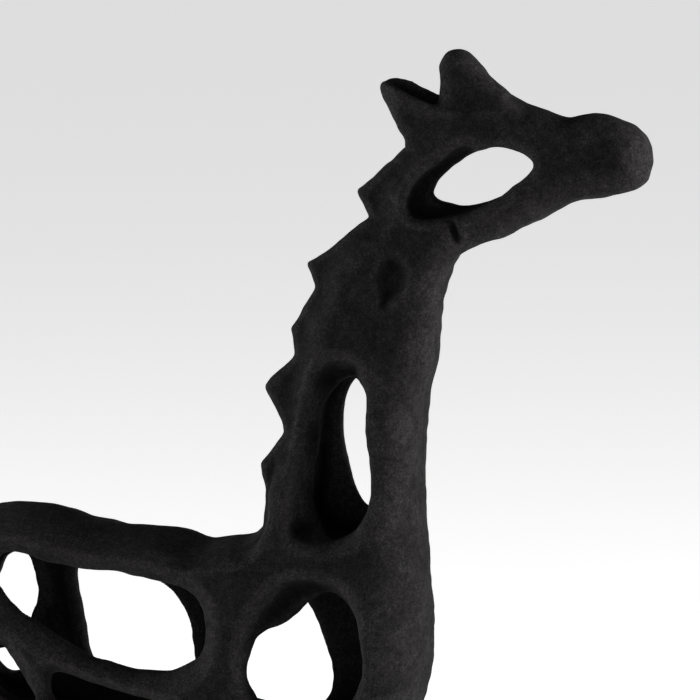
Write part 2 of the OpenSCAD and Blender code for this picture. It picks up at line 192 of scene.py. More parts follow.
MANE = [
    (67, 538.5), (62, 543.5), (37.5, 523), (46, 509.5), (33.5, 499.5), (11.8, 486.3), (16, 474),
    (4.5, 453), (6.5, 440), (-9, 423.6), (1.5, 401), (-11.3, 384.4), (-7.5, 371), (-9, 352), (6, 352),
    (10, 395), (16, 441), (34, 485), (56, 515),
]
MANE_SHARE = 0.6  # half the mane's thickness as a share of the figure's half width
MANE_ROUND = 3.0
MANE_FILLET = 6.0
MANE_FOOT_Z = 340  # nothing of the mane lies below this

CROWN_Z = 540  # ears and horns lie above this
# Both ears in side view: one cupped block, pointed to the rear.
EAR = [
    (48.5, 574), (50.5, 578), (56, 580), (66, 577), (77, 572), (92, 564), (84, 548), (66, 544),
    (63.5, 550.5), (55, 563),
]
EAR_HALF = 13.5
EAR_TIP_X, EAR_TIP_RUN = 47, 14  # the block widens over this run from its pointed end
EAR_ROUND = 3.0
EAR_FILLET = 3.0
RIM_POINT = (56, 577.5)  # a point on the ears' rim in X and Z
RIM_FALL = 0.42
RIM_LEAN = 0.09
RIM_EDGE = 2.0
SCOOP_X, SCOOP_REACH, SCOOP_HALF, SCOOP_DEPTH = 70, 18, 11, 7.5
# The left horn leans back a little behind the right one.
RIGHT_HORN = [
    (84, 560), (82, 578), (81, 586), (83, 591.5), (87, 594), (93, 593.5), (99, 589), (108, 580),
    (116.5, 572.5), (121, 560),
]
LEFT_HORN = [
    (80, 560), (79, 578), (79.5, 585), (82, 589), (86, 591), (90, 589), (95, 584), (103, 576),
    (111, 568), (116, 560),
]
HORN_Y = 6.5
HORN_HALF = 7.0
HORN_ROUND = 6.0
HORNS_FILLET = 5.0
CROWN_FILLET = 4.0

# Work sunk into the sides: an outline, how deep it goes, and over what distance it falls.
NECK_WINDOW_BEVEL = ([
    (15, 432), (10, 410), (6, 382), (4, 354), (13, 344), (30, 342), (44, 350), (51, 366), (51, 385),
    (48, 405), (49, 423), (43, 440), (27, 442),
], 16.0, 14.0)
CHEST_WINDOW_BEVEL = ([
    (-4, 324), (8, 332), (25, 333), (38, 328), (48, 314), (51, 292), (47, 268), (30, 252), (0, 252),
    (-16, 266), (-19, 285), (-16, 306),
], 11.0, 11.0)
EYE_FUNNEL = ([
    (64, 524), (63, 515), (70, 508), (88, 509), (106, 515), (120, 526), (112, 536), (101, 548),
    (91, 548.5), (78.5, 540), (69, 532),
], 9.5, 6.0)
NECK_DIMPLE = ([
    (49, 477), (50.5, 488), (56, 494), (64, 492), (69, 484), (67, 474), (59, 466), (53, 463.5),
], 2.5, 7.0)
CHEEK_CREASE = ([
    (84.5, 517), (89.5, 516), (93.5, 502), (89.5, 499.5),
], 2.8, 2.0)
NOSTRIL = ([
    (158, 558), (170, 557), (176, 547), (173, 532), (160, 529), (153, 544),
], 0.7, 9.0)
RIGHT_RELIEF = [NECK_WINDOW_BEVEL, CHEST_WINDOW_BEVEL, EYE_FUNNEL, NECK_DIMPLE, CHEEK_CREASE, NOSTRIL]
LEFT_RELIEF = [EYE_FUNNEL]

# The tail's centre line in X and Z, with its radius.
TAIL = [
    (-178, 336, 5.2), (-183.5, 329, 4.6), (-186.3, 315, 3.7), (-186.8, 290, 3.2), (-186, 268, 3.2),
    (-185.5, 252, 4.4), (-185.6, 240, 4.3), (-186, 233, 2.6),
]
PAD_RADIUS = 9.5
PAD_THICK = 2


def leg_stations(rows):
    """A leg's rows of height, centre in X and radii in X and Y, as one list of each."""
    return dict(zip(("z", "x", "rx", "ry"), zip(*rows)))


LEG_FRONT = leg_stations([
    (2, 44.5, 13.6, 10.8), (10, 44, 12.6, 10.2), (22, 42.5, 9.8, 8.8), (50, 42, 9, 8.3),
    (98, 42.5, 10.5, 9), (120, 43, 12, 10), (150, 42, 12, 9.8), (190, 43, 15.5, 11), (222, 44, 19, 12),
    (240, 42, 18, 11), (262, 38, 11, 7),
])
LEG_REAR = leg_stations([
    (2, -162.5, 13.6, 10.8), (10, -163, 12.6, 10.2), (22, -165, 9.9, 8.8), (50, -166, 9.2, 8.4),
    (96, -169.5, 10.3, 9.2), (120, -171, 11.2, 9.8), (150, -166, 12.8, 10), (190, -160, 17.5, 11.3),
    (222, -156, 21.5, 12.5), (240, -153, 20, 11), (262, -148, 12, 7),
])
LEG_Y = 19.5
LEG_JOINT_Z = 222
LEG_FILLET = 14.0
LEG_TOP_Z = LEG_FRONT["z"][-1]
BODY_JOINT = (28, 341, 8)  # a point on the plane in X and Z, and the plane's tilt in degrees
HEAD_JOINT = (57, 499, 15)
EAR_JOINT = (74, 559, -45)
HORN_JOINT_Z = 569


# ---- the whole figure as one field -----------------------------------------------------------


def half_width(x, z):
    """The figure's half width over the grid x by z; behind the neck it is that of the body."""
    by_height = np.interp(z, WIDTH_Z, WIDTH_W)[None, :]
    rear = smooth_step((WITHERS_X - x) / WITHERS_RUN)[:, None]
    return by_height + (WIDTH_W[0] - by_height) * rear


def relief(works, x, z):
    """How deep these works go over the grid x by z."""
    depth = np.zeros((len(x), len(z)))
    for outline, deep, fall in works:
        depth = np.maximum(depth, deep * smooth_step(-loop_distance(spline(outline), x, z) / fall))
    return depth


def rounded_slab(distance, y, half, r):
    """A side view of the given distance spread across Y to a half width, with edges rounded by r."""
    a = distance[:, None, :] + r[:, None, :]
    b = np.abs(y)[None, :, None] - half + r[:, None, :]
    return np.minimum(np.maximum(a, b), 0) + np.hypot(np.maximum(a, 0), np.maximum(b, 0)) - r[:, None, :]


def horn(outline, side, x, y, z):
    """A blunt horn beside the middle plane, on the right (-1) or left (1)."""
    side_view = loop_distance(spline(outline), x, z)
    half = np.full_like(side_view, HORN_HALF)[:, None, :]
    return rounded_slab(side_view, y - side * HORN_Y, half, np.full_like(side_view, HORN_ROUND))


def ear_rim(x, y):
    """The height of the ears' cut rim, which falls forward and sits lower on the right."""
    middle = RIM_POINT[1] - RIM_FALL * (x - RIM_POINT[0])
    return middle[:, None, None] + RIM_LEAN * y[None, :, None]


def ears(x, y, z):
    """The block that both ears are cut from."""
    half = EAR_HALF * np.sqrt(np.clip((x - EAR_TIP_X) / EAR_TIP_RUN, 0.04, 1))[:, None, None]
    side_view = loop_distance(spline(EAR), x, z)
    block = rounded_slab(side_view, y, half, np.full_like(side_view, EAR_ROUND))
    return carve(block, ear_rim(x, y) - z[None, None, :], RIM_EDGE)


def ear_scoop(x, y, z):
    """The cup between the two rims."""
    below = (z[None, None, :] - ear_rim(x, y)) / SCOOP_DEPTH
    along = (x[:, None, None] - SCOOP_X) / SCOOP_REACH
    across = y[None, :, None] / SCOOP_HALF
    return (np.sqrt(along**2 + across**2 + below**2) - 1) * SCOOP_DEPTH


def window_bevel(windows, x, z):
    """How far the flank is eased back round its windows."""
    nearest = np.min([loop_distance(spline(window), x, z) for window in windows], 0)
    flank = (smooth_step((BEVEL_FRONT_X - x) / 15) * smooth_step((x - BEVEL_REAR_X) / 22))[:, None]
    return BEVEL_DEPTH * np.clip(1 - nearest / BEVEL_WIDTH, 0, 1) ** BEVEL_CURVE * flank


def back_limit(trunk_side, x, z):
    """The half width left by the sloped planes along the back."""
    off_back = smooth_step((x - BACK_FRONT_X) / 40)[:, None] + smooth_step((BACK_LOW_Z - z) / 14)[None, :]
    return BACK_HALF - BACK_SLOPE * trunk_side + NO_LIMIT * off_back


def edge_rounding(wide, x, z):
    """The rounding of the trunk's long edges; it is tight from the back up into the withers."""
    share = np.interp(z, EDGE_Z, EDGE_SHARE)[None, :]
    above_flank = smooth_step((z - TIGHT_LOW_Z) / 25) * smooth_step((TIGHT_HIGH_Z - z) / 25)
    back = smooth_step((TIGHT_FRONT_X - x) / 40)[:, None] * above_flank[None, :]
    return (share + (BACK_SHARE - share) * back) * wide


def leg_field(leg, side, x, y, z):
    """A leg on the right (-1) or left (1), from its sole up into the body."""
    xc, rx, ry = (np.interp(z, leg["z"], leg[key])[None, None, :] for key in ("x", "rx", "ry"))
    across = (y[None, :, None] - side * LEG_Y) / ry
    along = (x[:, None, None] - xc) / rx
    around = (np.sqrt(across**2 + along**2) - 1) * np.minimum(rx, ry)
    top = z[None, None, :] - leg["z"][-1]
    foot = leg["z"][0] - z[None, None, :]
    return np.maximum(np.maximum(around, top), foot)


def figure(x, y, z):
    """Signed distance, roughly, to the whole carved figure on the grid x by y by z."""
    wide = half_width(x, z)
    trunk_side = loop_distance(spline(TRUNK), x, z)
    right = wide - np.maximum(relief(RIGHT_RELIEF, x, z), window_bevel(RIGHT_WINDOWS, x, z))
    left = wide - np.maximum(relief(LEFT_RELIEF, x, z), window_bevel(LEFT_WINDOWS, x, z))
    limit = back_limit(trunk_side, x, z)
    right, left = (np.minimum(face, limit)[:, None, :] for face in (right, left))
    sides = np.where(y[None, :, None] < 0, right, left)
    trunk = rounded_slab(trunk_side, y, sides, edge_rounding(wide, x, z))
    solid = trunk
    if z[0] < LEG_TOP_Z:
        for leg in (LEG_FRONT, LEG_REAR):
            for side in (-1, 1):
                solid = join(solid, leg_field(leg, side, x, y, z), LEG_FILLET)
    if z[-1] > MANE_FOOT_Z:
        mane = loop_distance(np.array(MANE, float), x, z)
        strip = rounded_slab(mane, y, MANE_SHARE * wide[:, None, :], np.full_like(wide, MANE_ROUND))
        solid = join(solid, strip, MANE_FILLET)
    if z[-1] > CROWN_Z:
        solid = join(solid, ears(x, y, z), EAR_FILLET)
        solid = carve(solid, ear_scoop(x, y, z), RIM_EDGE)
        solid = join(solid, join(horn(RIGHT_HORN, -1, x, y, z), horn(LEFT_HORN, 1, x, y, z), HORNS_FILLET),
                     CROWN_FILLET)
    wall = np.where(z > NECK_FOOT_Z, NECK_WALL, BODY_WALL)[None, None, :]
    hollow = np.min([loop_distance(spline(outline), x, z) for outline in (BODY_HOLLOW, NECK_HOLLOW)], 0)
    solid = carve(solid, np.maximum(trunk + wall, hollow[:, None, :]), HOLLOW_EDGE)
    for windows, side in ((RIGHT_WINDOWS, 1), (LEFT_WINDOWS, -1)):
        for window in windows:
            if min(p[1] for p in window) < z[-1] and max(p[1] for p in window) > z[0]:
                cut = loop_distance(spline(window), x, z)[:, None, :]
                solid = carve(solid, np.maximum(cut, side * y[None, :, None]), WINDOW_EDGE)
    if z[-1] > EYE_FOOT_Z:
        eye = loop_distance(spline(EYE), x, z)[:, None, :]
        solid = carve(solid, np.broadcast_to(eye, solid.shape), EYE_EDGE)
    past_blank = np.broadcast_to(BLANK_HALF - np.abs(y)[None, :, None], solid.shape)
    return carve(solid, past_blank, BLANK_EDGE)


def tail_field(x, y, z):
    """Round links from station to station of the tail."""
    px, py, pz = x[:, None, None], y[None, :, None], z[None, None, :]
    links = []
    for (ax, az, ar), (bx, bz, br) in zip(TAIL, TAIL[1:]):
        dx, dz = bx - ax, bz - az
        t = np.clip(((px - ax) * dx + (pz - az) * dz) / (dx * dx + dz * dz), 0, 1)
        off_x, off_z = px - ax - t * dx, pz - az - t * dz
        links.append(np.sqrt(off_x**2 + py**2 + off_z**2) - ar - t * (br - ar))
    return np.min(links, 0)


# ---- from field to mesh ----------------------------------------------------------------------


def surface_nets(field, origin, pitch):
    """Vertices and quads of the field's zero surface."""
    inside = field < 0
    n = np.array(field.shape) - 1
    corners = [(i, j, k) for i in (0, 1) for j in (0, 1) for k in (0, 1)]
    count = sum(inside[i:n[0] + i, j:n[1] + j, k:n[2] + k].astype(np.int8) for i, j, k in corners)
    cells = np.argwhere((count > 0) & (count < 8))
    index = np.full(n, -1, np.int32)
    index[tuple(cells.T)] = np.arange(len(cells))
    value = {c: field[tuple((cells + c).T)] for c in corners}
    total, crossings = np.zeros((len(cells), 3)), np.zeros(len(cells))
    for a in corners:
        for axis in range(3):
            if a[axis] == 1:
                continue
            b = tuple(v + (i == axis) for i, v in enumerate(a))
            va, vb = value[a], value[b]
            hit = (va < 0) != (vb < 0)
            t = np.where(hit, va / np.where(hit, va - vb, 1), 0)
            point = np.tile(np.array(a, float), (len(cells), 1))
            point[:, axis] += t
            total += point * hit[:, None]
            crossings += hit
    points = origin + (cells + total / crossings[:, None]) * pitch
    quads = []
    for axis in range(3):
        u, v = (axis + 1) % 3, (axis + 2) % 3
        low = np.take(inside, range(n[axis]), axis)
        high = np.take(inside, range(1, n[axis] + 1), axis)
        edges = np.argwhere(low != high)
        edges = edges[(edges[:, u] > 0) & (edges[:, v] > 0) & (edges[:, u] < n[u]) & (edges[:, v] < n[v])]
        step_u, step_v = np.eye(3, dtype=int)[u], np.eye(3, dtype=int)[v]
        steps = (step_u + step_v, step_v, 0 * step_u, step_u)
        quad = np.stack([index[tuple((edges - step).T)] for step in steps], 1)
        flip = ~low[tuple(edges.T)]
        quad[flip] = quad[flip][:, ::-1]
        quads.append(quad)
    return points, np.concatenate(quads)


def wobble(points, seed, lengths, height, waves=14):
    """Low hand-worked unevenness at the points: a sum of seeded waves of these lengths in mm."""
    random = np.random.default_rng(seed)
    out = np.zeros(len(points))
    for _ in range(waves):
        direction = random.normal(size=3)
        direction /= np.linalg.norm(direction)
        out += np.sin(points @ direction * 2 * np.pi / random.uniform(*lengths) + random.uniform(0, 6.28))
    return out * height / math.sqrt(waves / 2)


def mesh_object(name, points, faces):
    """A smooth object from points in mm and an array of faces."""
    mesh = bpy.data.meshes.new(name)
    mesh.vertices.add(len(points))
    mesh.vertices.foreach_set("co", (np.asarray(points, np.float32) * MM).ravel())
    mesh.loops.add(faces.size)
    mesh.loops.foreach_set("vertex_index", faces.ravel().astype(np.int32))
    mesh.polygons.add(len(faces))
    mesh.polygons.foreach_set("loop_start", np.arange(len(faces), dtype=np.int32) * faces.shape[1])
    mesh.polygons.foreach_set("use_smooth", np.ones(len(faces), bool))
    mesh.update(calc_edges=True)
    mesh.validate()
    obj = bpy.data.objects.new(name, mesh)
    bpy.context.scene.collection.objects.link(obj)
    return obj


def carved(name, *nodes, shape=figure):
    """The surface of a shape around these CAD nodes, meshed with a margin round them."""
    low = np.min([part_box(n)[0] for n in nodes], 0) / MM - MARGIN
    high = np.max([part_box(n)[1] for n in nodes], 0) / MM + MARGIN
    axes = [np.arange(math.floor(a / VOXEL), math.ceil(b / VOXEL) + 1) * VOXEL for a, b in zip(low, high)]
    field = blur(shape(*axes), 1)
    for axis in range(3):
        np.moveaxis(field, axis, 0)[[0, -1]] = VOXEL
    points, quads = surface_nets(field, np.array([a[0] for a in axes]), VOXEL)
    carving = weathered(mesh_object(name, points, quads), points)
    carving["origin"] = [a[0] for a in axes]
    # Painted shade: sunk work on the right side counts as hollow by its depth, so the finish is darkened
    # there
    recess = relief(RIGHT_RELIEF, axes[0], axes[2])[:, None, :] * (axes[1] < 0)[None, :, None]
    wear_and_shade_fields[name] = ridge_field(field) - RECESS_SHADE * recess
    return carving


# Per carving: how sharply each place is ridged, less the painted shade of its sunk work; raised edges come
# out lighter as abrasion, hollows darker as painted shade
wear_and_shade_fields = {}
WEAR_AND_SHADE_GAIN = 2
RECESS_SHADE = 0.024  # painted shade: how much each mm of recess darkens the finish there
# The unevenness of hand work: the seed, the range of wave lengths and the height of each layer.
UNEVENNESS = ((7, (16, 45), 0.4), (8, (5, 12), 0.1))


def ridge_field(field):
    """How sharply each place is ridged (above zero) or hollowed (below zero), in 1/mm."""
    soft = blur(field, 3)
    bend = -6 * soft
    for axis in range(3):
        bend += np.roll(soft, 1, axis) + np.roll(soft, -1, axis)
    return blur(bend / VOXEL**2, 1)


def sample(grid, origin, points):
    """The grid's values at the points, by straight blending between its nodes."""
    place = np.clip((points - origin) / VOXEL, 0, np.array(grid.shape) - 1.001)
    low = place.astype(int)
    part = place - low
    out = np.zeros(len(points))
    for corner in np.ndindex(2, 2, 2):
        weight = np.prod(np.where(corner, part, 1 - part), axis=1)
        out += weight * grid[tuple((low + corner).T)]
    return out


def mark_wear_and_shade(piece, carving):
    """Stores on each vertex how light its finish is: raised edges are abraded lighter, and hollows and sunk
    work are darkened as painted shade.
    """
    mesh = piece.data
    points = np.empty(len(mesh.vertices) * 3, np.float32)
    mesh.vertices.foreach_get("co", points)
    ridge_and_shade = sample(wear_and_shade_fields[carving.name], np.array(carving["origin"]), points.reshape(-1, 3) / MM)
    wear_and_shade = mesh.attributes.new("wear_and_shade", "FLOAT", "POINT")
    wear_and_shade.data.foreach_set("value", np.clip(0.5 + ridge_and_shade * WEAR_AND_SHADE_GAIN, 0, 1).astype(np.float32))


def weathered(obj, points):
    """Gives a carved surface its low unevenness, the same for every piece that shares a place."""
    normals = np.empty(len(points) * 3, np.float32)
    obj.data.vertices.foreach_get("normal", normals)
    normals = normals.reshape(-1, 3)
    for seed, lengths, height in UNEVENNESS:
        points = points + normals * wobble(points, seed, lengths, height)[:, None]
    obj.data.vertices.foreach_set("co", (points.astype(np.float32) * MM).ravel())
    obj.data.update()
    return obj


# ---- cutting tools ---------------------------------------------------------------------------


def tool(name, points, faces):
    """A closed cutting solid from points in mm."""
    mesh = bpy.data.meshes.new(name)
    mesh.from_pydata([Vector(p) * MM for p in points], [], faces)
    bm = bmesh.new()
    bm.from_mesh(mesh)
    bmesh.ops.recalc_face_normals(bm, faces=bm.faces)
    bm.to_mesh(mesh)
    bm.free()
    obj = bpy.data.objects.new(name, mesh)
    bpy.context.scene.collection.objects.link(obj)
    return obj


def prism(outline, y_low, y_high):
    """An outline in X and Z, spread across Y."""
    n = len(outline)
    points = [(x, y, z) for y in (y_low, y_high) for x, z in outline]
    faces = [tuple(range(n)), tuple(range(n, 2 * n))]
    faces += [(i, (i + 1) % n, (i + 1) % n + n, i + n) for i in range(n)]
    return tool("prism", points, faces)


def on_joint(joint, along, away):
    """The X and Z of a point on a tilted joint plane, along it and away from it."""
    tilt = math.radians(joint[2])
    x = joint[0] + along * math.cos(tilt) + away * math.sin(tilt)
    return x, joint[1] - along * math.sin(tilt) + away * math.cos(tilt)


def side_of(joint, direction):
    """Everything above (1) or below (-1) a joint plane."""
    corners = ((-FAR, 0), (FAR, 0), (FAR, direction * FAR), (-FAR, direction * FAR))
    return prism([on_joint(joint, along, away) for along, away in corners], -FAR, FAR)


def dowels(node):
    """The centre, axis, radius and half length of each dowel in a CAD node, in mm."""
    bm = bmesh.new()
    bm.from_mesh(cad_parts[node].data)
    bmesh.ops.remove_doubles(bm, verts=bm.verts, dist=1e-6)
    done = set()
    found = []
    for start in bm.verts:
        if start in done:
            continue
        group, edge = set(), {start}
        while edge:
            group |= edge
            edge = {e.other_vert(v) for v in edge for e in v.link_edges} - group
        done |= group
        points = np.array([v.co for v in bm.verts if v in group]) / MM
        centre = (points.min(0) + points.max(0)) / 2
        axis = np.linalg.svd(points - points.mean(0), full_matrices=False)[2][0]
        along = (points - centre) @ axis
        across = np.linalg.norm(points - centre - np.outer(along, axis), axis=1)
        found.append((Vector(centre), Vector(axis), float(across.max()), float(along.max())))
    bm.free()
    return found


def bores(*nodes):
    """The holes for all the dowels of these CAD nodes, as one cutter."""
    sides = 32
    points, faces = [], []
    for centre, axis, radius, reach in (dowel for node in nodes for dowel in dowels(node)):
        turn = axis.to_track_quat("Z", "Y").to_matrix()
        first = len(points)
        for end in (-reach - DOWEL_END_GAP, reach + DOWEL_END_GAP):
            for i in range(sides):
                angle = 2 * math.pi * i / sides
                rim = Vector((math.cos(angle), math.sin(angle), 0)) * (radius + GLUE_GAP)
                points.append(centre + turn @ (rim + Vector((0, 0, end))))
        second = first + sides
        faces += [tuple(range(first, second)), tuple(range(second, second + sides))]
        faces += [(first + i, first + (i + 1) % sides, second + (i + 1) % sides, second + i)
                  for i in range(sides)]
    return tool("bores", points, faces)


def cut(obj, cutter, operation):
    """Applies one boolean and removes its cutter."""
    modifier = obj.modifiers.new("cut", "BOOLEAN")
    modifier.operation = operation
    modifier.solver = "MANIFOLD"
    modifier.object = cutter
    bpy.context.view_layer.update()
    mesh = bpy.data.meshes.new_from_object(obj.evaluated_get(bpy.context.evaluated_depsgraph_get()))
    obj.modifiers.remove(modifier)
    old, obj.data = obj.data, mesh
    bpy.data.meshes.remove(old)
    data = cutter.data
    bpy.data.objects.remove(cutter)
    bpy.data.meshes.remove(data)


def part_of(carving, name, keep=(), remove=()):
    """A new piece: what is left of a carving inside all the solids of keep and outside those of remove."""
    obj = bpy.data.objects.new(name, carving.data.copy())
    bpy.context.scene.collection.objects.link(obj)
    for make in keep:
        cut(obj, make(), "INTERSECT")
    for make in remove:
        cut(obj, make(), "DIFFERENCE")
    obj.data.set_sharp_from_angle(angle=CREASE)
    mark_wear_and_shade(obj, carving)
    return obj


# ---- joints and dowels -----------------------------------------------------------------------

FAR = 1000
GLUE_GAP = 0.15
DOWEL_END_GAP = 0.5
MANE_HALF = 8  # half the thickness of the mane's let-in strip
HEAD_HALF = 20  # past the head's own half width
SIDES = ((-1, "right"), (1, "left"))

# The mane strip's root inside the neck, from the withers up, closed off well behind its teeth.
MANE_STRIP = [
    (-8, 355), (-5, 372), (2, 395), (7.5, 420), (9, 441), (18, 470), (30, 490), (46, 510), (57, 535),
    (55, 540), (40, 540), (20, 520), (-20, 480), (-40, 420), (-40, 360), (-18, 350),
]
EAR_BLOCK = [(30, 613), (30, 570), (60, 544), (81, 560), (81, 613)]
HORN_BLOCK = [(81, HORN_JOINT_Z), (122, HORN_JOINT_Z), (122, 620), (81, 620)]


def half(side):
    """Everything on the right (-1) or left (1) of the middle plane."""
    square = [(-FAR, -FAR), (FAR, -FAR), (FAR, FAR), (-FAR, FAR)]
    return prism(square, min(0, side * FAR), max(0, side * FAR))


def side_of_legs(direction):
    """Everything above (1) or below (-1) the level plane where the legs meet the body."""
    far = direction * FAR
    return prism([(-FAR, LEG_JOINT_Z), (FAR, LEG_JOINT_Z), (FAR, far), (-FAR, far)], -FAR, FAR)


def mane_strip():
    """The strip that the mane is cut from."""
    return prism(MANE_STRIP, -MANE_HALF, MANE_HALF)


def horn_block():
    """Everything above the level plane under the horns."""
    return prism(HORN_BLOCK, -HEAD_HALF, HEAD_HALF)


def ear_block():
    """Everything above the tilted plane under the ears, as far as the horns."""
    block = prism(EAR_BLOCK, -HEAD_HALF, HEAD_HALF)
    cut(block, side_of(EAR_JOINT, 1), "INTERSECT")
    return block


# ---- pieces ----------------------------------------------------------------------------------


def finished(piece, node, material):
    """Gives a piece its finish and lets it stand for its CAD node."""
    piece.data.materials.clear()
    piece.data.materials.append(material)
    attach(piece, "root")
    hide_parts(node)
    return piece


def twin(obj):
    """A copy of an object, to cut with."""
    copy = bpy.data.objects.new("twin", obj.data.copy())
    bpy.context.scene.collection.objects.link(copy)
    return copy


def drop(obj):
    """Removes an object and its mesh."""
    data = obj.data
    bpy.data.objects.remove(obj)
    bpy.data.meshes.remove(data)


def make_head(black):
    """The head with its ears and horns."""
    carving = carved("head_carving", "head", "right_ear", "left_ear", "right_horn", "left_horn")
    pegs = partial(bores, "head_dowels", "ear_pegs", "horn_pegs", "mane_pegs")
    head = part_of(carving, "head_carved", [partial(side_of, HEAD_JOINT, 1)],
                   [ear_block, horn_block, mane_strip, pegs])
    finished(head, "head", black)
    for side, name in SIDES:
        for part, block in (("ear", ear_block), ("horn", horn_block)):
            node = f"{name}_{part}"
            piece = part_of(carving, node + "_carved", [block, partial(half, side)],
                            [partial(bores, part + "_pegs")])
            finished(piece, node, black)
    drop(carving)


def make_neck(black):
    """The neck and the mane let into it."""
    carving = carved("neck_carving", "neck", "mane")
    pegs = partial(bores, "neck_dowels", "head_dowels", "mane_pegs")
    between = [partial(side_of, BODY_JOINT, 1), partial(side_of, HEAD_JOINT, -1)]
    neck = part_of(carving, "neck_carved", between, [mane_strip, pegs])
    finished(neck, "neck", black)
    mane = part_of(carving, "mane_carved", [mane_strip], [partial(bores, "mane_pegs")])
    finished(mane, "mane", black)
    drop(carving)


def make_body(black):
    """The two shells of the body, and the tail on them."""
    carving = carved("body_carving", "right_body_shell", "left_body_shell")
    pegs = partial(bores, "shell_pegs", "neck_dowels", "leg_dowels", "tail_peg")
    for side, name in SIDES:
        within = [partial(side_of, BODY_JOINT, -1), partial(side_of_legs, 1), partial(half, side)]
        shell = part_of(carving, name + "_body_carved", within, [pegs])
        finished(shell, name + "_body_shell", black)
    make_tail(black, carving)
    drop(carving)


def make_tail(black, body):
    """The tail, cut to sit flush on the body's rump."""
    carving = carved("tail_carving", "tail", shape=tail_field)
    tail = part_of(carving, "tail_carved", [], [partial(twin, body), partial(bores, "tail_peg")])
    finished(tail, "tail", black)
    drop(carving)


def make_legs(black):
    """The four legs, each up to its level joint with the body."""
    for place in ("front", "rear"):
        for side, name in SIDES:
            node = f"{place}_{name}_leg"
            carving = carved("leg_carving", node)
            leg = part_of(carving, node + "_carved", [partial(side_of_legs, -1), partial(half, side)],
                          [partial(bores, "leg_dowels")])
            finished(leg, node, black)
            drop(carving)


def make_pads(material):
    """Felt discs under the hooves, their cut edges softened."""
    soft = 0.5
    nick = 0.3 * soft
    lower = [(PAD_RADIUS - soft, 0), (PAD_RADIUS - nick, nick), (PAD_RADIUS, soft)]
    profile = lower + [(radius, PAD_THICK - z) for radius, z in reversed(lower)]
    sides = 64
    turns = [2 * math.pi * i / sides for i in range(sides)]
    points, faces = [], []
    for x in (LEG_FRONT["x"][0], LEG_REAR["x"][0]):
        for y in (-LEG_Y, LEG_Y):
            first = len(points)
            for radius, z in profile:
                points += [(x + radius * math.cos(a), y + radius * math.sin(a), z) for a in turns]
            last = first + (len(profile) - 1) * sides
            faces += [tuple(range(first, first + sides)), tuple(range(last, last + sides))]
            for ring in range(first, last, sides):
                faces += [(ring + i, ring + (i + 1) % sides, ring + (i + 1) % sides + sides, ring + i + sides)
                          for i in range(sides)]
    pads = tool("foot_pads_felt", points, faces)
    pads.data.set_sharp_from_angle(angle=CREASE)
    finished(pads, "foot_pads", material)


# ---- materials -------------------------------------------------------------------------------


def new_material(name):
    """A new material with its nodes, its links and its shader."""
    material = bpy.data.materials.new(name)
    material.use_nodes = True
    nodes, links = material.node_tree.nodes, material.node_tree.links
    return material, nodes, links, nodes["Principled BSDF"]


def noise(nodes, links, coordinates, scale, detail=2.0, roughness=0.5):
    """A noise value; the scale is in cells per metre."""
    node = nodes.new("ShaderNodeTexNoise")
    node.inputs["Scale"].default_value = scale
    node.inputs["Detail"].default_value = detail
    node.inputs["Roughness"].default_value = roughness
    links.new(coordinates, node.inputs["Vector"])
    return node.outputs["Fac"]


def ramp(nodes, links, value, *stops):
    """A colour or grey ramp with (place, colour) stops."""
    node = nodes.new("ShaderNodeValToRGB")
    elements = node.color_ramp.elements
    while len(elements) < len(stops):
        elements.new(0.5)
    for element, (place, colour) in zip(elements, stops):
        element.position = place
        element.color = (*colour, 1) if hasattr(colour, "__len__") else (colour, colour, colour, 1)
    links.new(value, node.inputs["Fac"])
    return node.outputs["Color"]


def mix(nodes, links, a, b, factor, blend="MIX"):
    """Two colours or values mixed; each may be a link, a colour or a number."""
    node = nodes.new("ShaderNodeMix")
    node.data_type = "RGBA"
    node.blend_type = blend
    for value, socket in ((factor, 0), (a, 6), (b, 7)):
        if isinstance(value, (int, float)):
            node.inputs[socket].default_value = value
        elif isinstance(value, tuple):
            node.inputs[socket].default_value = (*value, 1)
        else:
            links.new(value, node.inputs[socket])
    return node.outputs[2]


def bump(nodes, links, height, distance, strength=1.0, under=None):
    """A bumped normal; the distance is in metres."""
    node = nodes.new("ShaderNodeBump")
    node.inputs["Distance"].default_value = distance
    node.inputs["Strength"].default_value = strength
    links.new(height, node.inputs["Height"])
    if under:
        links.new(under, node.inputs["Normal"])
    return node.outputs["Normal"]


def black_finish():
    """Dry, powdery matte black over carved wood: mottled, dusted, abraded lighter on raised edges, and
    darkened in its hollows and sunk work as painted shade.
    """
    material, nodes, links, shader = new_material("black_finish")
    place = nodes.new("ShaderNodeTexCoord").outputs["Object"]
    mottle = noise(nodes, links, place, 75, 4, 0.62)
    speckle = noise(nodes, links, place, 1100, 3, 0.75)
    base = ramp(nodes, links, mottle, (0.3, (0.0062, 0.0058, 0.0060)), (0.7, (0.0084, 0.0079, 0.0082)))
    clumps = noise(nodes, links, place, 380, 3, 0.65)
    dust = ramp(nodes, links, mix(nodes, links, speckle, clumps, 0.28), (0.36, 0.36), (0.5, 1.0), (0.64, 2.1))
    dusted = mix(nodes, links, base, dust, 1.0, "MULTIPLY")
    # Painted shade: the wear_and_shade attribute darkens hollows and sunk work to about a third, and lightens
    # raised edges as abrasion
    wear_and_shade_node = nodes.new("ShaderNodeAttribute")
    wear_and_shade_node.attribute_name = "wear_and_shade"
    patches = noise(nodes, links, place, 160, 3, 0.7)
    rubbed_and_shaded = mix(nodes, links, wear_and_shade_node.outputs["Fac"], patches, 0.3)
    rub_and_shade = ramp(nodes, links, rubbed_and_shaded, (0.15, 0.35), (0.42, 0.88), (0.52, 1.0), (0.66, 1.75))
    links.new(mix(nodes, links, dusted, rub_and_shade, 1.0, "MULTIPLY"), shader.inputs["Base Color"])
    links.new(ramp(nodes, links, mottle, (0.3, 0.92), (0.7, 0.78)), shader.inputs["Roughness"])
    shader.inputs["Specular IOR Level"].default_value = 0.04
    tool_marks = bump(nodes, links, noise(nodes, links, place, 210, 3, 0.55), 0.0006, 0.6)
    links.new(bump(nodes, links, speckle, 0.00015, 0.7, tool_marks), shader.inputs["Normal"])
    return material


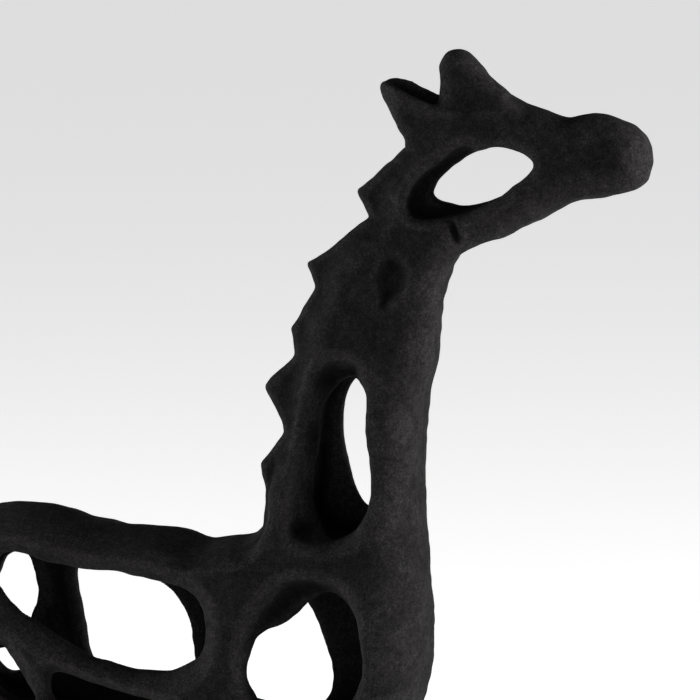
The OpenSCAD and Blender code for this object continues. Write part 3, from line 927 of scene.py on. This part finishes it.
def bare_wood():
    """Pale turned hardwood with fine upright grain."""
    material, nodes, links, shader = new_material("bare_wood")
    place = nodes.new("ShaderNodeTexCoord").outputs["Object"]
    stretch = nodes.new("ShaderNodeMapping")
    stretch.inputs["Scale"].default_value = (1, 1, 0.08)
    links.new(place, stretch.inputs["Vector"])
    grain = noise(nodes, links, stretch.outputs["Vector"], 1500, 4, 0.6)
    links.new(ramp(nodes, links, grain, (0.35, (0.46, 0.31, 0.16)), (0.65, (0.68, 0.50, 0.29))),
              shader.inputs["Base Color"])
    links.new(ramp(nodes, links, grain, (0.3, 0.5), (0.7, 0.7)), shader.inputs["Roughness"])
    links.new(bump(nodes, links, grain, 0.0001, 0.5), shader.inputs["Normal"])
    return material


def felt():
    """Dark pressed felt: a matted surface of short fibres."""
    material, nodes, links, shader = new_material("felt")
    place = nodes.new("ShaderNodeTexCoord").outputs["Object"]
    fibres = noise(nodes, links, place, 2600, 5, 0.75)
    links.new(ramp(nodes, links, fibres, (0.3, (0.012, 0.012, 0.013)), (0.7, (0.045, 0.044, 0.047))),
              shader.inputs["Base Color"])
    shader.inputs["Roughness"].default_value = 0.95
    shader.inputs["Sheen Weight"].default_value = 0.3
    links.new(bump(nodes, links, fibres, 0.0003, 0.8), shader.inputs["Normal"])
    return material


# ---- studio ----------------------------------------------------------------------------------


VIEW_AZIMUTH = math.radians(17)
VIEW_ELEVATION = math.radians(8)
VIEW_CENTRE = Vector((0.0324, 0, 0.442))
VIEW_WIDTH = 0.35
VIEW_DISTANCE = 2.2
LIGHT_DISTANCE = 2.6


def direction_to(azimuth, elevation):
    """The direction from the figure to a place at these angles, from -Y round towards +X and up."""
    level = math.cos(elevation)
    return Vector((math.sin(azimuth) * level, -math.cos(azimuth) * level, math.sin(elevation)))


def make_camera():
    """A long lens at the photograph's angle, on the head, neck and shoulders."""
    away = direction_to(VIEW_AZIMUTH, VIEW_ELEVATION)
    data = bpy.data.cameras.new("camera")
    camera = bpy.data.objects.new("camera", data)
    bpy.context.scene.collection.objects.link(camera)
    camera.location = VIEW_CENTRE + away * VIEW_DISTANCE
    camera.rotation_euler = (-away).to_track_quat("-Z", "Y").to_euler()
    data.lens = data.sensor_width * VIEW_DISTANCE / VIEW_WIDTH
    data.clip_end = 100
    bpy.context.scene.camera = camera


def make_floor():
    """A wide pale floor that glows a little, as a lit studio sweep does."""
    bm = bmesh.new()
    bmesh.ops.create_circle(bm, cap_ends=True, radius=40, segments=96)
    mesh = bpy.data.meshes.new("floor")
    bm.to_mesh(mesh)
    bm.free()
    floor = bpy.data.objects.new("floor", mesh)
    bpy.context.scene.collection.objects.link(floor)
    material, nodes, links, shader = new_material("floor")
    shader.inputs["Base Color"].default_value = (0.85, 0.85, 0.85, 1)
    shader.inputs["Roughness"].default_value = 1.0
    shader.inputs["Specular IOR Level"].default_value = 0.0
    shader.inputs["Emission Color"].default_value = (1, 1, 1, 1)
    shader.inputs["Emission Strength"].default_value = 0.5
    mesh.materials.append(material)


def softbox(name, aside, elevation, power):
    """A large soft light on the figure, turned aside from the camera by this many degrees."""
    away = direction_to(VIEW_AZIMUTH + math.radians(aside), math.radians(elevation))
    data = bpy.data.lights.new(name, "AREA")
    data.shape = "DISK"
    data.size = 1.0
    data.energy = power
    light = bpy.data.objects.new(name, data)
    bpy.context.scene.collection.objects.link(light)
    light.location = VIEW_CENTRE + away * LIGHT_DISTANCE
    light.rotation_euler = (-away).to_track_quat("-Z", "Y").to_euler()


def make_studio():
    """A bright surround that is dimmer overhead, and a soft light from each side."""
    scene = bpy.context.scene
    scene.view_settings.view_transform = "Standard"
    world = bpy.data.worlds.new("studio")
    scene.world = world
    world.use_nodes = True
    nodes, links = world.node_tree.nodes, world.node_tree.links
    direction = nodes.new("ShaderNodeTexCoord").outputs["Generated"]
    split = nodes.new("ShaderNodeSeparateXYZ")
    links.new(direction, split.inputs["Vector"])
    sky = ramp(nodes, links, split.outputs["Z"], (0.0, 1.0), (0.1, 1.0), (0.35, 0.22))
    links.new(sky, nodes["Background"].inputs["Color"])
    softbox("right_softbox", aside=76, elevation=6, power=135)
    softbox("left_softbox", aside=-98, elevation=6, power=60)


black = black_finish()
make_head(black)
make_neck(black)
make_body(black)
make_legs(black)
make_pads(felt())
wood = bare_wood()
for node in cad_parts.values():
    if node.name.endswith(("dowels", "pegs", "peg")):
        node.data.materials.clear()
        node.data.materials.append(wood)
make_floor()
make_studio()
make_camera()
